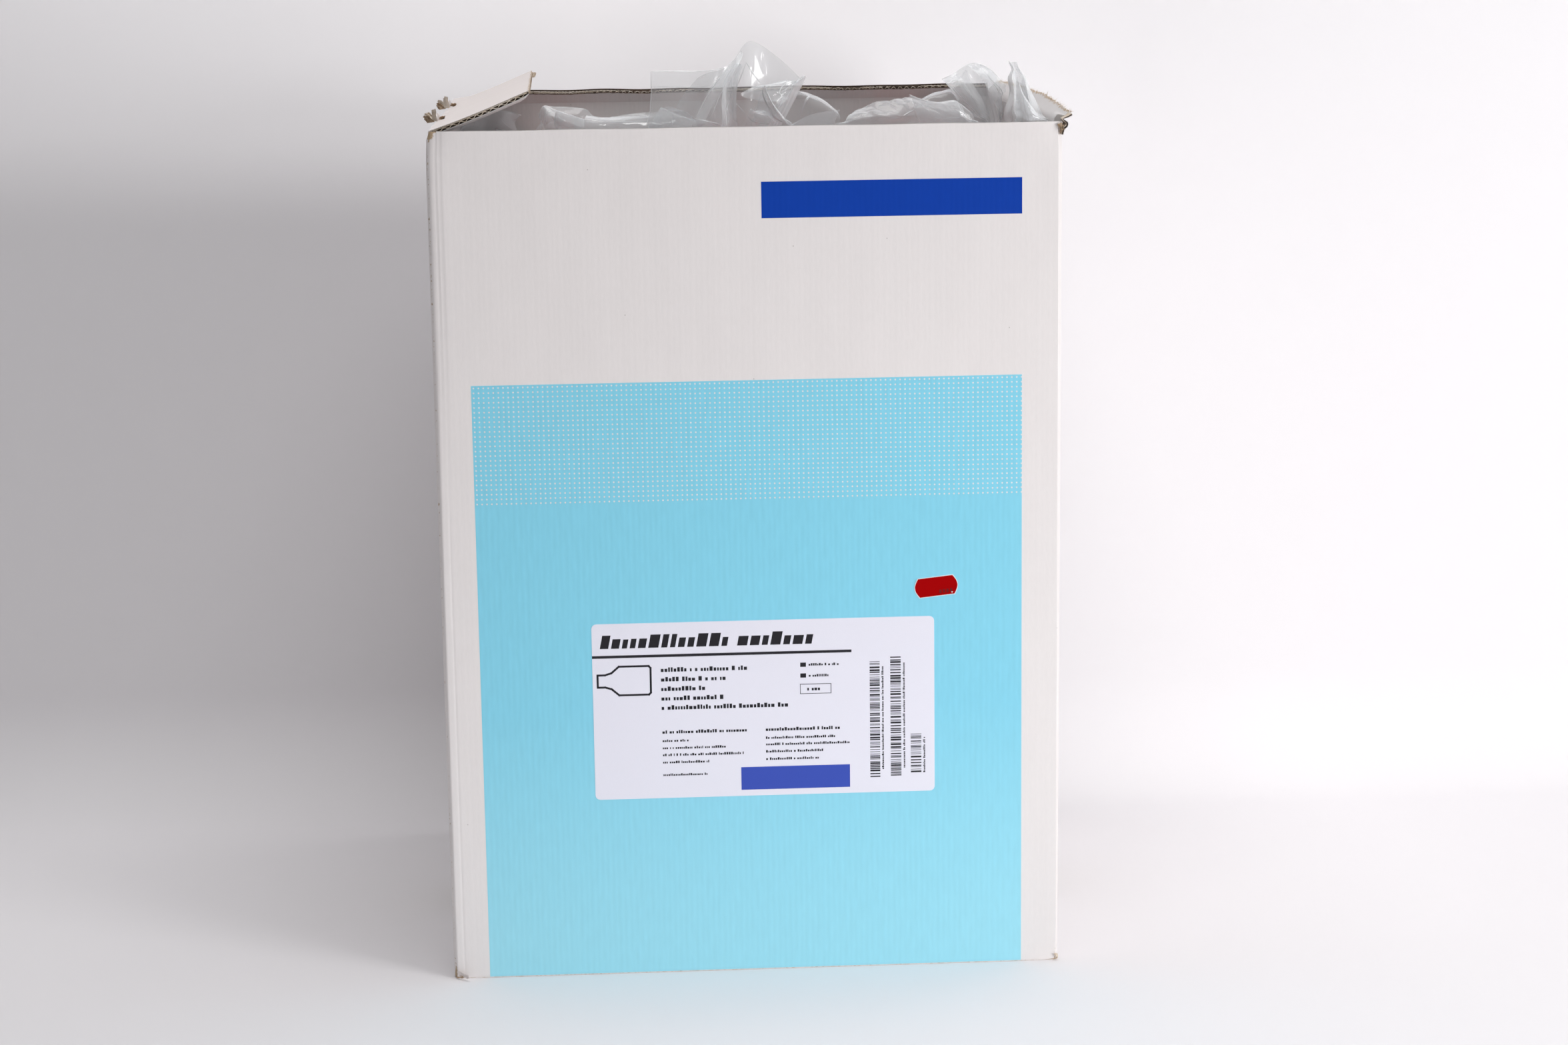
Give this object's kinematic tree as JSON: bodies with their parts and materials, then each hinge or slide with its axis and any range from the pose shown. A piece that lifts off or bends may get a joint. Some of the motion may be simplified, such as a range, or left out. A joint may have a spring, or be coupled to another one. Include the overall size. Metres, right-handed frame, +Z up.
{
  "type": "opened corrugated shipping carton of bagged cell culture flasks",
  "caption": "Open-topped white corrugated carton with a hinged left flap, torn and cut flap stubs, a case label, and clear film bags of screw-capped culture flasks gathered above the rim.",
  "frame": {"origin": "middle of the base, on the face that the carton stands on", "axes": "+Z up out of the carton's mouth, -Y out of the printed front wall, +X towards the torn right flap"},
  "size_m": [0.3714, 0.3101, 0.549],
  "materials": {
    "carton_board": "white-faced double-wall corrugated board, matt, with a faint washboard",
    "print_light_blue": "flat light blue print on the board, with a band of fine white dots",
    "print_deep_blue": "flat deep blue print on the board",
    "label_paper": "smooth coated label paper",
    "sticker_paper": "satin red label paper",
    "tape_film": "clear buff packing tape",
    "bag_film": "clear, slightly hazy polyethylene film, glossy on its folds",
    "flask_styrene": "clear moulded polystyrene",
    "cap_polyethylene": "moulded satin blue polyethylene",
    "vent_membrane": "white hydrophobic filter membrane"
  },
  "bodies": {
    "carton": {"carton_blank": "carton_board", "base_tape": "tape_film", "print_field": "print_light_blue", "print_bar": "print_deep_blue", "case_label": "label_paper", "price_sticker": "sticker_paper", "lower_front_left_film": "bag_film", "lower_front_middle_film": "bag_film", "lower_front_right_film": "bag_film", "lower_rear_left_film": "bag_film", "lower_rear_middle_film": "bag_film", "lower_rear_right_film": "bag_film", "upper_front_left_film": "bag_film", "upper_front_middle_film": "bag_film", "upper_front_right_film": "bag_film", "upper_rear_left_film": "bag_film", "upper_rear_middle_film": "bag_film", "upper_rear_right_film": "bag_film", "lower_front_left_flasks": "flask_styrene", "lower_front_middle_flasks": "flask_styrene", "lower_front_right_flasks": "flask_styrene", "lower_rear_left_flasks": "flask_styrene", "lower_rear_middle_flasks": "flask_styrene", "lower_rear_right_flasks": "flask_styrene", "upper_front_left_flasks": "flask_styrene", "upper_front_middle_flasks": "flask_styrene", "upper_front_right_flasks": "flask_styrene", "upper_rear_left_flasks": "flask_styrene", "upper_rear_middle_flasks": "flask_styrene", "upper_rear_right_flasks": "flask_styrene", "lower_front_left_caps": "cap_polyethylene", "lower_front_middle_caps": "cap_polyethylene", "lower_front_right_caps": "cap_polyethylene", "lower_rear_left_caps": "cap_polyethylene", "lower_rear_middle_caps": "cap_polyethylene", "lower_rear_right_caps": "cap_polyethylene", "upper_front_left_caps": "cap_polyethylene", "upper_front_middle_caps": "cap_polyethylene", "upper_front_right_caps": "cap_polyethylene", "upper_rear_left_caps": "cap_polyethylene", "upper_rear_middle_caps": "cap_polyethylene", "upper_rear_right_caps": "cap_polyethylene", "lower_front_left_vents": "vent_membrane", "lower_front_middle_vents": "vent_membrane", "lower_front_right_vents": "vent_membrane", "lower_rear_left_vents": "vent_membrane", "lower_rear_middle_vents": "vent_membrane", "lower_rear_right_vents": "vent_membrane", "upper_front_left_vents": "vent_membrane", "upper_front_middle_vents": "vent_membrane", "upper_front_right_vents": "vent_membrane", "upper_rear_left_vents": "vent_membrane", "upper_rear_middle_vents": "vent_membrane", "upper_rear_right_vents": "vent_membrane"},
    "left_flap": {"left_flap": "carton_board"}
  },
  "joints": [
    {"name": "left_flap_hinge", "type": "hinge", "parent": "carton", "child": "left_flap", "pos_m": [-0.181, 0, 0.506], "axis": [0, -1, 0], "range_deg": [-20, 225]}
  ]
}
